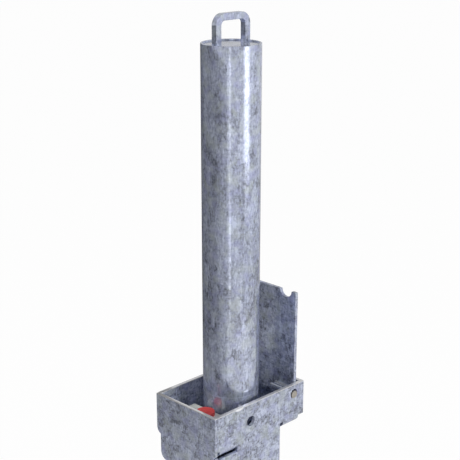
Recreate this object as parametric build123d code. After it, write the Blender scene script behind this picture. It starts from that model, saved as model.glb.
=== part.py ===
"""Removable bollard: a round post that lifts out of a lidded ground socket.

Frame: millimetres, +Z up. The post axis is the line x = 0, y = 0, and the
underside of the base plate is z = 0. +X runs from the lock end of the head
box to its hinge end, and the near side is -Y.
"""

import math
import os

from build123d import *

# Post
POST_DIAMETER = 114.3
POST_WALL = 4.0
POST_EXPOSED = 695.0
TOP_CAP_THICKNESS = 5.0
TOP_CAP_RECESS = 2.5
FOOT_THICKNESS = 6.0
WELD_FIT = 0.05

# Lift handle, bent from square bar
HANDLE_BAR = 13.0
HANDLE_SPAN = 75.0
HANDLE_RISE = 54.3
HANDLE_INNER_BEND = 9.0
HANDLE_EDGE_ROUND = 1.0

# Folded sheet of the head box
SHEET = 7.0
HEAD_DEPTH = 89.6
HEAD_BEND = 15.0
FRONT_ROOM = 64.85
REAR_ROOM = 64.85
SIDE_GAP = 8.65
REAR_STEP = 15.5
FLAP_CORNER = 3.0
RELIEF_LENGTH = 9.0
FRONT_NICK = 6.0

# Ground socket
SOCKET_DEPTH = 400.0
SOCKET_WALL = 5.0
SOCKET_GAP = 7.7
GUIDE_CLEARANCE = 1.0
COLLAR_HEIGHT = 10.0
COLLAR_WIDTH = 9.0
LOWER_RING_HEIGHT = 12.0
LOWER_RING_FIT = 0.2
STRAP_WIDTH = 116.0
BASE_THICKNESS = 8.0
BASE_LENGTH = 160.0
BASE_CORNER = 8.0
DRAIN_DIAMETER = 50.0

# Lock pocket under the front of the head
POCKET_DEPTH = 145.0
POCKET_BEND = 18.0
POCKET_SLIT = 3.0
POCKET_TOP_FLAT = 5.5
POCKET_FAR_STEP = 10.4
FRONT_NOTCH_DEPTH = 5.0
FRONT_NOTCH_RISE = 3.0
POCKET_TUBE_GAP = 0.3

# Hole in the near side
SIDE_HOLE_X = -29.0
SIDE_HOLE_DROP = 38.3
SIDE_HOLE_DIAMETER = 22.0

# Lid and its hinge
LID_THICKNESS = 7.0
LID_STOP_DEPTH = 8.0
LID_SIDE_GAP = 1.0
LID_END_GAP = 2.0
LID_TAIL = 11.7
LID_CORNER = 3.0
NOTCH_RADIUS = 15.0
NOTCH_FROM_SIDE = 27.0
HINGE_HOLE_DIAMETER = 20.0
HINGE_HOLE_DROP = 20.4
HINGE_PIN_DIAMETER = 16.0
HINGE_PIN_CLEARANCE = 0.1
HINGE_PIN_PROUD = 2.5
HINGE_PIN_ON_LID = 55.0
HINGE_PIN_CHAMFER = 1.0
HINGE_WELD_INSET = 4.0
HINGE_WELD_SPREAD = 2.5
HINGE_WELD_ANGLE = 60.0
LID_STOP_HEIGHT = 12.0
LID_STOP_DROP = 4.0
LID_STOP_INSET = 18.0

# Lock bracket
BRACKET_DROP = 30.0
BRACKET_THICKNESS = 5.0
BRACKET_WIDTH = 81.0
BRACKET_FLANGE = 30.0
BRACKET_BEND = 8.0
BRACKET_MARGIN = 1.0
BRACKET_CORNER = 3.0

# Lock
LOCK_STANDOFF = 28.2
LOCK_SIDE = 12.0
LOCK_FLANGE_DIAMETER = 34.0
LOCK_FLANGE_THICKNESS = 4.0
LOCK_BARREL_DIAMETER = 26.0
LOCK_BARREL_LENGTH = 20.0
LOCK_BARREL_FIT = 0.2
LOCK_NUT_ACROSS_FLATS = 36.0
LOCK_NUT_THICKNESS = 8.0
LOCK_NUT_FIT = 0.1
PLUG_DIAMETER = 14.0
PLUG_CLEARANCE = 0.05
PLUG_HEAD_DIAMETER = 18.0
PLUG_HEAD_THICKNESS = 2.0
KEY_FLAT = 6.0
KEY_DEPTH = 5.0
SPINDLE_DIAMETER = 12.0
SPINDLE_CLEARANCE = 0.5
SPINDLE_SQUARE = 8.0
SPINDLE_THREAD_DIAMETER = 8.0
SPINDLE_TAIL = 1.5

# Cam on the foot of the spindle
CAM_THICKNESS = 6.0
CAM_WIDTH = 16.0
CAM_HUB_DIAMETER = 22.0
CAM_BITE = 10.0
CAM_SLOT_CLEARANCE = 2.5
CAM_TIP_CLEARANCE = 1.5
CAM_WASHER_DIAMETER = 18.0
CAM_WASHER_THICKNESS = 1.6
CAM_NUT_ACROSS_FLATS = 13.0
CAM_NUT_THICKNESS = 6.5
CAM_NUT_FIT = 0.1
CAM_FLOOR_CLEARANCE = 10.4

# Lift-off cap over the lock
CAP_DIAMETER = 38.0
CAP_HEIGHT = 8.0
CAP_CLEARANCE = 0.3
CAP_ROUND = 1.2

# Modelling allowances
SAME_PLACE = 0.0001

# Places worked out from the sizes above
POST_RADIUS = POST_DIAMETER / 2
POST_INNER_RADIUS = POST_RADIUS - POST_WALL
GUIDE_RADIUS = POST_RADIUS + GUIDE_CLEARANCE
SOCKET_INNER_RADIUS = POST_RADIUS + SOCKET_GAP
SOCKET_RADIUS = SOCKET_INNER_RADIUS + SOCKET_WALL

RIM_Z = SOCKET_DEPTH
HEAD_BOTTOM_Z = RIM_Z - HEAD_DEPTH
HEAD_BEND_Z = HEAD_BOTTOM_Z + HEAD_BEND
FLOOR_TOP_Z = HEAD_BOTTOM_Z + SHEET
POCKET_BOTTOM_Z = RIM_Z - POCKET_DEPTH
POCKET_TOP_Z = HEAD_BOTTOM_Z - POCKET_SLIT
POST_TOP_Z = RIM_Z + POST_EXPOSED
POST_FOOT_Z = BASE_THICKNESS
TOP_CAP_Z = POST_TOP_Z - TOP_CAP_RECESS

SIDE_Y = SOCKET_RADIUS + SIDE_GAP + SHEET
SIDE_INNER_Y = SIDE_Y - SHEET
FLOOR_HALF_WIDTH = SIDE_Y - HEAD_BEND
POCKET_FAR_Y = SIDE_Y - POCKET_FAR_STEP
FRONT_INNER_X = -(POST_RADIUS + FRONT_ROOM)
FRONT_X = FRONT_INNER_X - SHEET
REAR_INNER_X = POST_RADIUS + REAR_ROOM
REAR_X = REAR_INNER_X + SHEET
REAR_EDGE_X = REAR_X - REAR_STEP
STRAP_X = STRAP_WIDTH / 2

LID_BACK_X = REAR_INNER_X - LID_STOP_DEPTH
LID_FRONT_X = LID_BACK_X - LID_THICKNESS
HINGE_PIN_RADIUS = HINGE_PIN_DIAMETER / 2
HINGE_X = LID_FRONT_X - HINGE_PIN_RADIUS
HINGE_HOLE_Z = RIM_Z - HINGE_HOLE_DROP
HINGE_SAG = HINGE_HOLE_DIAMETER / 2 - HINGE_PIN_RADIUS - HINGE_PIN_CLEARANCE
HINGE_Z = HINGE_HOLE_Z - HINGE_SAG
LID_TOP_Z = HINGE_Z + HINGE_X - FRONT_INNER_X - LID_END_GAP
LID_BOTTOM_Z = HINGE_Z - LID_TAIL
LID_HALF_WIDTH = SIDE_INNER_Y - LID_SIDE_GAP

LOCK_Y = -LOCK_SIDE
LOCK_RADIUS = POST_RADIUS + LOCK_STANDOFF
LOCK_X = -math.sqrt(LOCK_RADIUS ** 2 - LOCK_Y ** 2)
CAM_REACH = LOCK_STANDOFF + CAM_BITE
BRACKET_TOP_Z = RIM_Z - BRACKET_DROP
BRACKET_BOTTOM_Z = BRACKET_TOP_Z - BRACKET_THICKNESS
BRACKET_END_X = LOCK_X + CAP_DIAMETER / 2 + BRACKET_MARGIN
LOCK_TOP_Z = BRACKET_TOP_Z + LOCK_FLANGE_THICKNESS
LOCK_BARREL_END_Z = BRACKET_TOP_Z - LOCK_BARREL_LENGTH
PLUG_HEAD_Z = LOCK_TOP_Z - PLUG_HEAD_THICKNESS
SPINDLE_END_Z = POCKET_BOTTOM_Z + SHEET + CAM_FLOOR_CLEARANCE
CAM_NUT_Z = SPINDLE_END_Z + SPINDLE_TAIL
CAM_WASHER_Z = CAM_NUT_Z + CAM_NUT_THICKNESS
CAM_BOTTOM_Z = CAM_WASHER_Z + CAM_WASHER_THICKNESS
CAM_TOP_Z = CAM_BOTTOM_Z + CAM_THICKNESS
SIDE_HOLE_Z = RIM_Z - SIDE_HOLE_DROP

# Shared shapes


def block(x_range, y_range, z_range):
    """A box between two limits along each axis."""
    spans = [high - low for low, high in (x_range, y_range, z_range)]
    centre = [(low + high) / 2 for low, high in (x_range, y_range, z_range)]
    return Pos(*centre) * Box(*spans)


def upright(radius, bottom, top, x=0.0, y=0.0):
    """A vertical cylinder standing at x, y."""
    return Pos(x, y, (bottom + top) / 2) * Cylinder(radius, top - bottom)


def ring(outer_radius, inner_radius, bottom, top):
    """A tube on the post axis."""
    return upright(outer_radius, bottom, top) - upright(inner_radius, bottom, top)


def crosswise(radius, y_start, y_end, x, z):
    """A round bar lying along Y."""
    length = y_end - y_start
    return Pos(x, (y_start + y_end) / 2, z) * Rot(90, 0, 0) * Cylinder(radius, length)


def side_outline(points):
    """A face in the X-Z plane, from corners given as x, z."""
    plane = Plane(origin=(0, 0, 0), x_dir=(1, 0, 0), z_dir=(0, -1, 0))
    return plane * make_face(Polyline(*points, close=True))


def end_outline(points, x):
    """A face in the Y-Z plane at x, from corners given as y, z."""
    plane = Plane(origin=(x, 0, 0), x_dir=(0, 1, 0), z_dir=(1, 0, 0))
    return plane * make_face(Polyline(*points, close=True))


def across(face, half_width):
    """A solid from a face in the X-Z plane, equally to both sides."""
    return extrude(face, amount=half_width, both=True)


def hexagon(across_flats, bottom, top, x, y):
    """An upright hexagonal prism."""
    prism = extrude(RegularPolygon(across_flats / 2, 6, major_radius=False), top - bottom)
    return Pos(x, y, bottom) * prism


def same(first, second):
    """Whether two lengths are equal, apart from rounding."""
    return abs(first - second) < SAME_PLACE


def edges_at_z(shape, z):
    """The edges of a shape that lie in one level plane."""
    return [edge for edge in shape.edges() if all(same(v.Z, z) for v in edge.vertices())]


def far_copy(shape):
    """The mirror image of a near piece, on the far side."""
    return mirror(shape, about=Plane.XZ)


# Head box


def folded_side_section():
    """Wall and inward bend of a head side, as one section along X."""
    bend_y = -FLOOR_HALF_WIDTH
    outer = HEAD_BEND * math.sqrt(0.5)
    inner = (HEAD_BEND - SHEET) * math.sqrt(0.5)
    top_inner = (-SIDE_INNER_Y, RIM_Z)
    top_outer = (-SIDE_Y, RIM_Z)
    wall_inner = (-SIDE_INNER_Y, HEAD_BEND_Z)
    wall_outer = (-SIDE_Y, HEAD_BEND_Z)
    flap_top = (bend_y, FLOOR_TOP_Z)
    flap_bottom = (bend_y, HEAD_BOTTOM_Z)
    edge = Polyline(wall_inner, top_inner, top_outer, wall_outer)
    edge += ThreePointArc(wall_outer, (bend_y - outer, HEAD_BEND_Z - outer), flap_bottom)
    edge += Line(flap_bottom, flap_top)
    edge += ThreePointArc(flap_top, (bend_y - inner, HEAD_BEND_Z - inner), wall_inner)
    plane = Plane(origin=(FRONT_INNER_X, 0, 0), x_dir=(0, 1, 0), z_dir=(1, 0, 0))
    return extrude(plane * make_face(edge), REAR_X - FRONT_INNER_X)


def head_side_blank():
    """The flat outline of a head side, with its relief cuts and rear step."""
    flap_start = FRONT_INNER_X + FRONT_NICK
    flap_end = -STRAP_X - RELIEF_LENGTH
    outline = side_outline([
        (FRONT_INNER_X, RIM_Z),
        (REAR_X, RIM_Z),
        (REAR_X, HEAD_BEND_Z),
        (REAR_EDGE_X, HEAD_BEND_Z),
        (REAR_EDGE_X, HEAD_BOTTOM_Z),
        (STRAP_X + RELIEF_LENGTH, HEAD_BOTTOM_Z),
        (STRAP_X + RELIEF_LENGTH, HEAD_BEND_Z),
        (flap_end, HEAD_BEND_Z),
        (flap_end, HEAD_BOTTOM_Z),
        (flap_start, HEAD_BOTTOM_Z),
        (flap_start, HEAD_BEND_Z),
        (FRONT_INNER_X, HEAD_BEND_Z),
    ])
    corner = [v for v in outline.vertices()
              if same(v.X, REAR_EDGE_X) and same(v.Z, HEAD_BOTTOM_Z)]
    return across(fillet(corner, FLAP_CORNER), SIDE_Y)


def hinge_side_plate():
    """Folded side of the head with its strap and hinge hole, as on both sides."""
    head = folded_side_section() & head_side_blank()
    wall = (-SIDE_Y, -SIDE_INNER_Y)
    strap = block((-STRAP_X, STRAP_X), wall, (BASE_THICKNESS, HEAD_BEND_Z))
    shoulder = block((-STRAP_X - RELIEF_LENGTH, -STRAP_X), wall, (POCKET_TOP_Z, HEAD_BEND_Z))
    hole = crosswise(HINGE_HOLE_DIAMETER / 2, -SIDE_Y, -SIDE_INNER_Y, HINGE_X, HINGE_HOLE_Z)
    return head + strap + shoulder - hole


def near_side_plate():
    """Near side of the head, which has a second hole."""
    hole = crosswise(SIDE_HOLE_DIAMETER / 2, -SIDE_Y, -SIDE_INNER_Y, SIDE_HOLE_X, SIDE_HOLE_Z)
    return hinge_side_plate() - hole


def front_end_plate():
    """Front of the head and of the lock pocket, cut from one sheet."""
    head = end_outline([
        (-SIDE_Y, RIM_Z),
        (SIDE_Y, RIM_Z),
        (SIDE_Y, HEAD_BOTTOM_Z),
        (-SIDE_Y, HEAD_BOTTOM_Z),
    ], FRONT_X)
    far_corner = [v for v in head.vertices() if same(v.Y, SIDE_Y) and same(v.Z, HEAD_BOTTOM_Z)]
    head = fillet(far_corner, HEAD_BEND)
    pocket = end_outline([
        (-SIDE_Y, HEAD_BEND_Z),
        (POCKET_FAR_Y, HEAD_BEND_Z),
        (POCKET_FAR_Y, POCKET_BOTTOM_Z),
        (-SIDE_Y, POCKET_BOTTOM_Z),
    ], FRONT_X)
    pocket_corners = [v for v in pocket.vertices() if same(v.Z, POCKET_BOTTOM_Z)]
    pocket = fillet(pocket_corners, POCKET_BEND)
    notch_bottom = HEAD_BOTTOM_Z + FRONT_NOTCH_RISE
    notch = block((FRONT_X, FRONT_INNER_X), (-SIDE_Y, -SIDE_Y + FRONT_NOTCH_DEPTH),
                  (notch_bottom, notch_bottom + POCKET_SLIT))
    return extrude(head, SHEET) + extrude(pocket, SHEET) - notch


def rear_end_plate():
    """Rear end of the head, behind the lid."""
    span_x = (REAR_INNER_X, REAR_X)
    plate = block(span_x, (-SIDE_INNER_Y, SIDE_INNER_Y), (HEAD_BEND_Z, RIM_Z))
    return plate + block(span_x, (-FLOOR_HALF_WIDTH, FLOOR_HALF_WIDTH), (HEAD_BOTTOM_Z, HEAD_BEND_Z))


def head_floor():
    """Floor between the folded sides, bored for the post and the spindle."""
    floor = block((FRONT_INNER_X, REAR_INNER_X), (-FLOOR_HALF_WIDTH, FLOOR_HALF_WIDTH),
                  (HEAD_BOTTOM_Z, FLOOR_TOP_Z))
    floor -= upright(GUIDE_RADIUS, HEAD_BOTTOM_Z, FLOOR_TOP_Z)
    spindle_hole = SPINDLE_DIAMETER / 2 + SPINDLE_CLEARANCE
    return floor - upright(spindle_hole, HEAD_BOTTOM_Z, FLOOR_TOP_Z, LOCK_X, LOCK_Y)


def lid_stop_bar():
    """Bar on the rear plate that the open lid leans on."""
    reach = SIDE_INNER_Y - LID_STOP_INSET
    top = RIM_Z - LID_STOP_DROP
    return block((LID_BACK_X, REAR_INNER_X), (-reach, reach), (top - LID_STOP_HEIGHT, top))


# Lock pocket


def lock_pocket_pan():
    """Folded channel under the front of the head, round the lock's cam."""
    start = FRONT_INNER_X
    outer = end_outline([
        (-SIDE_Y, POCKET_TOP_Z),
        (-SIDE_Y, POCKET_BOTTOM_Z),
        (POCKET_FAR_Y, POCKET_BOTTOM_Z),
        (POCKET_FAR_Y, HEAD_BOTTOM_Z),
        (POCKET_FAR_Y - SHEET, HEAD_BOTTOM_Z),
        (POCKET_FAR_Y - SHEET, POCKET_BOTTOM_Z + SHEET),
        (-SIDE_INNER_Y, POCKET_BOTTOM_Z + SHEET),
        (-SIDE_INNER_Y, POCKET_TOP_Z),
    ], start)
    outer_corners = [v for v in outer.vertices() if same(v.Z, POCKET_BOTTOM_Z)]
    outer = fillet(outer_corners, POCKET_BEND)
    inner_z = POCKET_BOTTOM_Z + SHEET
    inner_corners = [v for v in outer.vertices() if same(v.Z, inner_z)]
    outer = fillet(inner_corners, POCKET_BEND - SHEET)
    top_corner = [v for v in outer.vertices()
                  if same(v.Z, POCKET_TOP_Z) and same(v.Y, -SIDE_Y)]
    outer = fillet(top_corner, SHEET - POCKET_TOP_FLAT)
    pan = extrude(outer, -STRAP_X - start)
    return pan - upright(SOCKET_RADIUS + POCKET_TUBE_GAP, POCKET_BOTTOM_Z, HEAD_BOTTOM_Z)


def cam_sweep():
    """Room that the turning cam needs in the walls that it passes through."""
    low = CAM_BOTTOM_Z - CAM_SLOT_CLEARANCE
    high = CAM_TOP_Z + CAM_SLOT_CLEARANCE
    return upright(CAM_REACH + CAM_TIP_CLEARANCE, low, high, LOCK_X, LOCK_Y)


# Ground socket


def socket_tube():
    """Tube round the buried length of the post."""
    return ring(SOCKET_RADIUS, SOCKET_INNER_RADIUS, BASE_THICKNESS, HEAD_BOTTOM_Z) - cam_sweep()


def upper_guide_collar():
    """Ring on the head floor that guides the post."""
    return ring(GUIDE_RADIUS + COLLAR_WIDTH, GUIDE_RADIUS, FLOOR_TOP_Z, FLOOR_TOP_Z + COLLAR_HEIGHT)


def lower_guide_ring():
    """Ring at the foot of the socket that centres the post."""
    outer = SOCKET_INNER_RADIUS - LOWER_RING_FIT
    return ring(outer, GUIDE_RADIUS, BASE_THICKNESS, BASE_THICKNESS + LOWER_RING_HEIGHT)


def base_plate():
    """Plate that closes the socket, with a drain hole."""
    plate = block((-BASE_LENGTH / 2, BASE_LENGTH / 2), (-SIDE_Y, SIDE_Y), (0, BASE_THICKNESS))
    plate = fillet(plate.edges().filter_by(Axis.Z), BASE_CORNER)
    return plate - upright(DRAIN_DIAMETER / 2, 0, BASE_THICKNESS)


# Lock


def lock_bracket():
    """Bent shelf welded inside the front plate, bored for the lock."""
    outline = side_outline([
        (FRONT_INNER_X, BRACKET_TOP_Z),
        (BRACKET_END_X, BRACKET_TOP_Z),
        (BRACKET_END_X, BRACKET_BOTTOM_Z),
        (FRONT_INNER_X + BRACKET_THICKNESS, BRACKET_BOTTOM_Z),
        (FRONT_INNER_X + BRACKET_THICKNESS, BRACKET_TOP_Z - BRACKET_FLANGE),
        (FRONT_INNER_X, BRACKET_TOP_Z - BRACKET_FLANGE),
    ])
    outer = [v for v in outline.vertices()
             if same(v.X, FRONT_INNER_X) and same(v.Z, BRACKET_TOP_Z)]
    outline = fillet(outer, BRACKET_BEND)
    inner = [v for v in outline.vertices()
             if same(v.X, FRONT_INNER_X + BRACKET_THICKNESS) and same(v.Z, BRACKET_BOTTOM_Z)]
    outline = fillet(inner, BRACKET_BEND - BRACKET_THICKNESS)
    shelf = across(outline, BRACKET_WIDTH / 2)
    end_corners = [edge for edge in shelf.edges().filter_by(Axis.Z)
                   if same(edge.center().X, BRACKET_END_X)]
    shelf = fillet(end_corners, BRACKET_CORNER)
    hole = LOCK_BARREL_DIAMETER / 2 + LOCK_BARREL_FIT
    return shelf - upright(hole, BRACKET_BOTTOM_Z, BRACKET_TOP_Z, LOCK_X, LOCK_Y)


def lock_body():
    """Fixed barrel of the lock, with its flange on the bracket."""
    body = upright(LOCK_FLANGE_DIAMETER / 2, BRACKET_TOP_Z, LOCK_TOP_Z, LOCK_X, LOCK_Y)
    body += upright(LOCK_BARREL_DIAMETER / 2, LOCK_BARREL_END_Z, BRACKET_TOP_Z, LOCK_X, LOCK_Y)
    bore = PLUG_DIAMETER / 2 + PLUG_CLEARANCE
    counterbore = PLUG_HEAD_DIAMETER / 2 + PLUG_CLEARANCE
    body -= upright(bore, LOCK_BARREL_END_Z, LOCK_TOP_Z, LOCK_X, LOCK_Y)
    return body - upright(counterbore, PLUG_HEAD_Z, LOCK_TOP_Z, LOCK_X, LOCK_Y)


def lock_nut():
    """Hexagon nut that clamps the barrel under the bracket."""
    low = BRACKET_BOTTOM_Z - LOCK_NUT_THICKNESS
    nut = hexagon(LOCK_NUT_ACROSS_FLATS, low, BRACKET_BOTTOM_Z, LOCK_X, LOCK_Y)
    hole = LOCK_BARREL_DIAMETER / 2 + LOCK_NUT_FIT
    return nut - upright(hole, low, BRACKET_BOTTOM_Z, LOCK_X, LOCK_Y)


def lock_plug():
    """Turning plug with a triangular key recess, and its long spindle."""
    plug = upright(PLUG_HEAD_DIAMETER / 2, PLUG_HEAD_Z, LOCK_TOP_Z, LOCK_X, LOCK_Y)
    plug += upright(PLUG_DIAMETER / 2, LOCK_BARREL_END_Z, PLUG_HEAD_Z, LOCK_X, LOCK_Y)
    plug += upright(SPINDLE_DIAMETER / 2, CAM_TOP_Z, LOCK_BARREL_END_Z, LOCK_X, LOCK_Y)
    square = SPINDLE_SQUARE / 2
    plug += block((LOCK_X - square, LOCK_X + square), (LOCK_Y - square, LOCK_Y + square),
                  (CAM_BOTTOM_Z, CAM_TOP_Z))
    tail = upright(SPINDLE_THREAD_DIAMETER / 2, SPINDLE_END_Z, CAM_BOTTOM_Z, LOCK_X, LOCK_Y)
    key = extrude(RegularPolygon(KEY_FLAT / 2, 3, major_radius=False), KEY_DEPTH)
    return plug + tail - Pos(LOCK_X, LOCK_Y, LOCK_TOP_Z - KEY_DEPTH) * key


def lock_cam():
    """Flat tongue on the spindle, parked along -Y when unlocked."""
    hub = Circle(CAM_HUB_DIAMETER / 2)
    arm = Pos(0, -CAM_REACH / 2) * Rectangle(CAM_WIDTH, CAM_REACH)
    arm &= Circle(CAM_REACH)
    profile = hub + arm - Rectangle(SPINDLE_SQUARE, SPINDLE_SQUARE)
    return Pos(LOCK_X, LOCK_Y, CAM_BOTTOM_Z) * extrude(profile, CAM_THICKNESS)


def cam_washer():
    """Plain washer between the cam and its nut."""
    washer = upright(CAM_WASHER_DIAMETER / 2, CAM_WASHER_Z, CAM_BOTTOM_Z, LOCK_X, LOCK_Y)
    hole = SPINDLE_THREAD_DIAMETER / 2 + CAM_NUT_FIT
    return washer - upright(hole, CAM_WASHER_Z, CAM_BOTTOM_Z, LOCK_X, LOCK_Y)


def cam_nut():
    """Nut that holds the cam on the spindle's square."""
    nut = hexagon(CAM_NUT_ACROSS_FLATS, CAM_NUT_Z, CAM_WASHER_Z, LOCK_X, LOCK_Y)
    hole = SPINDLE_THREAD_DIAMETER / 2 + CAM_NUT_FIT
    return nut - upright(hole, CAM_NUT_Z, CAM_WASHER_Z, LOCK_X, LOCK_Y)


def lock_cap():
    """Round cup that lifts off the lock and stands on the bracket."""
    top = BRACKET_TOP_Z + CAP_HEIGHT
    cup = upright(CAP_DIAMETER / 2, BRACKET_TOP_Z, top, LOCK_X, LOCK_Y)
    cup = fillet(edges_at_z(cup, top), CAP_ROUND)
    inside = LOCK_FLANGE_DIAMETER / 2 + CAP_CLEARANCE
    return cup - upright(inside, BRACKET_TOP_Z, LOCK_TOP_Z + CAP_CLEARANCE, LOCK_X, LOCK_Y)


# Lid


def lid_plate():
    """Flat lid, standing open, with a finger notch in its free edge."""
    lid = block((LID_FRONT_X, LID_BACK_X), (-LID_HALF_WIDTH, LID_HALF_WIDTH),
                (LID_BOTTOM_Z, LID_TOP_Z))
    corners = lid.edges().filter_by(Axis.X)
    lid = fillet(corners, LID_CORNER)
    notch_y = -LID_HALF_WIDTH + NOTCH_FROM_SIDE
    notch = Pos((LID_FRONT_X + LID_BACK_X) / 2, notch_y, LID_TOP_Z) * Rot(0, 90, 0)
    return lid - notch * Cylinder(NOTCH_RADIUS, 2 * LID_THICKNESS)


def near_hinge_pin():
    """Round stub through the side plate, welded along the lid's inner face."""
    start_y = -SIDE_Y - HINGE_PIN_PROUD
    end_y = -LID_HALF_WIDTH + HINGE_PIN_ON_LID
    pin = crosswise(HINGE_PIN_RADIUS, start_y, end_y, HINGE_X, HINGE_Z)
    rims = [edge for edge in pin.edges() if edge.geom_type == GeomType.CIRCLE]
    pin = chamfer(rims, HINGE_PIN_CHAMFER)
    half_height = HINGE_PIN_RADIUS + HINGE_WELD_SPREAD
    root_angle = math.radians(HINGE_WELD_ANGLE)
    root_x = HINGE_X + HINGE_PIN_RADIUS * math.cos(root_angle)
    root_z = HINGE_PIN_RADIUS * math.sin(root_angle)
    weld = side_outline([
        (root_x, HINGE_Z - root_z),
        (LID_FRONT_X, HINGE_Z - half_height),
        (LID_FRONT_X, HINGE_Z + half_height),
        (root_x, HINGE_Z + root_z),
    ])
    weld_length = HINGE_PIN_ON_LID - 2 * HINGE_WELD_INSET
    weld = Pos(0, end_y - HINGE_WELD_INSET, 0) * extrude(weld, weld_length)
    return pin + weld


# Post


def post_tube():
    """Round tube of the post, slotted for the cam."""
    return ring(POST_RADIUS, POST_INNER_RADIUS, POST_FOOT_Z + FOOT_THICKNESS, POST_TOP_Z) - cam_sweep()


def post_foot_plate():
    """Disc that closes the foot of the post and stands on the base plate."""
    return upright(POST_RADIUS, POST_FOOT_Z, POST_FOOT_Z + FOOT_THICKNESS)


def post_top_cap():
    """Disc set just below the top of the tube."""
    return upright(POST_INNER_RADIUS - WELD_FIT, TOP_CAP_Z - TOP_CAP_THICKNESS, TOP_CAP_Z)


def lift_handle():
    """Square bar bent to a loop, welded on the top disc."""
    width = HANDLE_SPAN + HANDLE_BAR
    height = HANDLE_RISE + TOP_CAP_RECESS
    overrun = HANDLE_BAR + HANDLE_INNER_BEND
    opening = HANDLE_SPAN - HANDLE_BAR
    outer = RectangleRounded(width, height + overrun, HANDLE_INNER_BEND + HANDLE_BAR)
    inner = Pos(0, -HANDLE_BAR) * RectangleRounded(opening, height + overrun, HANDLE_INNER_BEND)
    below = Pos(0, -height) * Rectangle(width, height + overrun)
    loop = outer - inner - below
    plane = Plane(origin=(0, 0, 0), x_dir=(1, 0, 0), z_dir=(0, -1, 0))
    bar = extrude(plane * loop, amount=HANDLE_BAR / 2, both=True)
    bar = Pos(0, 0, TOP_CAP_Z + height - (height + overrun) / 2) * bar
    long_edges = [edge for edge in bar.edges()
                  if same(abs(edge.center().Y), HANDLE_BAR / 2)
                  and edge.center().Z > TOP_CAP_Z + HANDLE_EDGE_ROUND]
    return fillet(long_edges, HANDLE_EDGE_ROUND)


# Every piece by the name of its node

PIECES = {
    "near_side_plate": near_side_plate,
    "far_side_plate": lambda: far_copy(hinge_side_plate()),
    "front_end_plate": front_end_plate,
    "rear_end_plate": rear_end_plate,
    "head_floor": head_floor,
    "lid_stop_bar": lid_stop_bar,
    "lock_pocket_pan": lock_pocket_pan,
    "socket_tube": socket_tube,
    "upper_guide_collar": upper_guide_collar,
    "lower_guide_ring": lower_guide_ring,
    "base_plate": base_plate,
    "lock_bracket": lock_bracket,
    "lock_body": lock_body,
    "lock_nut": lock_nut,
    "lock_plug": lock_plug,
    "lock_cam": lock_cam,
    "cam_washer": cam_washer,
    "cam_nut": cam_nut,
    "lock_cap": lock_cap,
    "lid_plate": lid_plate,
    "near_hinge_pin": near_hinge_pin,
    "far_hinge_pin": lambda: far_copy(near_hinge_pin()),
    "post_tube": post_tube,
    "post_foot_plate": post_foot_plate,
    "post_top_cap": post_top_cap,
    "lift_handle": lift_handle,
}


def main():
    """Build every piece and write one file for each."""
    os.makedirs("parts", exist_ok=True)
    for name, make in PIECES.items():
        export_step(make(), f"parts/{name}.step")


main()
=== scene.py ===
"""Looks of the removable bollard: finishes, rounded edges, weld beads and the studio."""

import logging
import math
from dataclasses import dataclass
from enum import Enum
from typing import Any, Iterable, Mapping, Optional, Sequence, Union

import bmesh
import bpy
from mathutils import Matrix, Vector


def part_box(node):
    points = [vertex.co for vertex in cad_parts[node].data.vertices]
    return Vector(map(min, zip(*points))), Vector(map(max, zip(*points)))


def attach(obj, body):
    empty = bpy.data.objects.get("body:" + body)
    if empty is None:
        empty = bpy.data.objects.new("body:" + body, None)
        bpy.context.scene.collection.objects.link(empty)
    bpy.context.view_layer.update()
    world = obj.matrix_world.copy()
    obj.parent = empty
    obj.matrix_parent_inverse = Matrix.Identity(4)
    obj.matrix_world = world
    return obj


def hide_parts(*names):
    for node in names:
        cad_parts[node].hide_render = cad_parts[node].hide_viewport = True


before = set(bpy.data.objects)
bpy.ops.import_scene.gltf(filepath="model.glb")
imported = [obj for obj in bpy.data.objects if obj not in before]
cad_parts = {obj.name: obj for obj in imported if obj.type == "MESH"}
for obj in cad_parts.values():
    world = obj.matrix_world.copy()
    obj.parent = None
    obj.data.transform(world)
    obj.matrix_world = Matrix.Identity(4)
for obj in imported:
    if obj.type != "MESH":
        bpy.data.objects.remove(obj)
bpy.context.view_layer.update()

LOG = logging.getLogger("bollard")

Colour = tuple[float, float, float]
Point = tuple[float, float, float]
Stops = Sequence[tuple[float, float]]

ORIGIN: Point = (0.0, 0.0, 0.0)
UP: Point = (0.0, 0.0, 1.0)
WHITE: Colour = (1.0, 1.0, 1.0)


class Slot(Enum):
    """The record's material slots."""

    SHEET = "galvanised_sheet"
    TUBE = "galvanised_tube"
    BAR = "galvanised_bar"
    PIN = "plated_pin"
    BRACKET = "passivated_bracket"
    LOCK = "lock_steel"
    CAP = "red_plastic"


class Body(Enum):
    """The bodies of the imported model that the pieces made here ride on."""

    HOUSING = "housing"
    POST = "post"
    LID = "lid"


class Axis(Enum):
    """The axes that the finishes measure along."""

    Y = "Y"
    Z = "Z"


class Detail(Enum):
    """How many finer layers a noise has."""

    SOFT = 2.0
    RAGGED = 3.0
    FINE = 4.0


# Shader maths

# Noise and levels run from 0 to 1, and this is their middle.
MIDDLE = 0.5

# The Mix node's colour sockets go by number, because its names repeat for each kind of data.
MIX_FIRST = 6
MIX_SECOND = 7
MIX_RESULT = 2


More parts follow.
